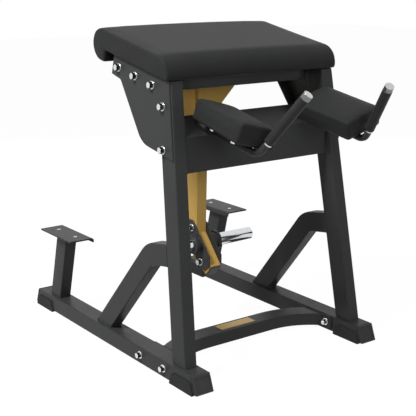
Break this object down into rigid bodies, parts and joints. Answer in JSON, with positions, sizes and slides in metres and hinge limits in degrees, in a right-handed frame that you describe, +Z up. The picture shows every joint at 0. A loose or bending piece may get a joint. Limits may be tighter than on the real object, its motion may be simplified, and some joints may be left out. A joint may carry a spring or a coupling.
{
  "type": "reverse hyperextension machine",
  "caption": "Splayed steel gym frame with a sloping torso pad, arm pads with hand grips, rear steps and a swinging pendulum arm with weight sleeves.",
  "frame": {"origin": "on the floor, under the middle of the machine's bounding box", "axes": "+Z up, +Y to the rear where the steps are, +X to the right as seen from the front"},
  "size_m": [0.8946, 1.4474, 1.2033],
  "materials": {
    "frame_black": "satin powder coat",
    "pendulum_gold": "satin powder coat",
    "crossbar_gold": "satin",
    "bright_chrome": "polished",
    "zinc_bolt": "bright zinc",
    "pad_leather": "matt leatherette",
    "plywood_board": "sealed",
    "shoe_rubber": "matt",
    "grip_rubber": "matt",
    "cap_plastic": "matt"
  },
  "bodies": {
    "frame": {"cross_member": "frame_black", "crossbar_plate": "crossbar_gold", "front_crossbar": "frame_black", "left_arm_pad": "pad_leather", "left_arm_pad_board": "plywood_board", "left_arm_tube": "frame_black", "left_brace": "frame_black", "left_crossbar_front_bolt": "zinc_bolt", "left_crossbar_rear_bolt": "zinc_bolt", "left_front_end_cap": "cap_plastic", "left_front_shoe": "shoe_rubber", "left_grip": "grip_rubber", "left_grip_cap": "bright_chrome", "left_grip_ring": "bright_chrome", "left_gusset": "frame_black", "left_pad_rail": "frame_black", "left_pivot_bearing": "frame_black", "left_post": "frame_black", "left_rear_end_cap": "cap_plastic", "left_rear_shoe": "shoe_rubber", "left_runner": "frame_black", "left_step_plate": "frame_black", "left_upright": "frame_black", "pad_underframe": "frame_black", "pivot_shaft": "bright_chrome", "right_arm_pad": "pad_leather", "right_arm_pad_board": "plywood_board", "right_arm_tube": "frame_black", "right_brace": "frame_black", "right_crossbar_front_bolt": "zinc_bolt", "right_crossbar_rear_bolt": "zinc_bolt", "right_front_end_cap": "cap_plastic", "right_front_shoe": "shoe_rubber", "right_grip": "grip_rubber", "right_grip_cap": "bright_chrome", "right_grip_ring": "bright_chrome", "right_gusset": "frame_black", "right_pad_rail": "frame_black", "right_pivot_bearing": "frame_black", "right_post": "frame_black", "right_rear_end_cap": "cap_plastic", "right_rear_shoe": "shoe_rubber", "right_runner": "frame_black", "right_step_plate": "frame_black", "right_upright": "frame_black", "torso_pad": "pad_leather", "torso_pad_board": "plywood_board"},
    "pendulum": {"pendulum_hub": "pendulum_gold", "pendulum_arm": "pendulum_gold", "arm_end_cap": "cap_plastic", "left_sleeve_plate": "frame_black", "right_sleeve_plate": "frame_black", "left_weight_sleeve": "bright_chrome", "right_weight_sleeve": "bright_chrome", "left_sleeve_collar": "frame_black", "right_sleeve_collar": "frame_black", "upper_sleeve_plate_bolt": "zinc_bolt", "lower_sleeve_plate_bolt": "zinc_bolt"}
  },
  "joints": [
    {"name": "pendulum_swing", "type": "hinge", "parent": "frame", "child": "pendulum", "pos_m": [0, 0.1223, 1.024], "axis": [1, 0, 0], "range_deg": [-30, 90]}
  ]
}
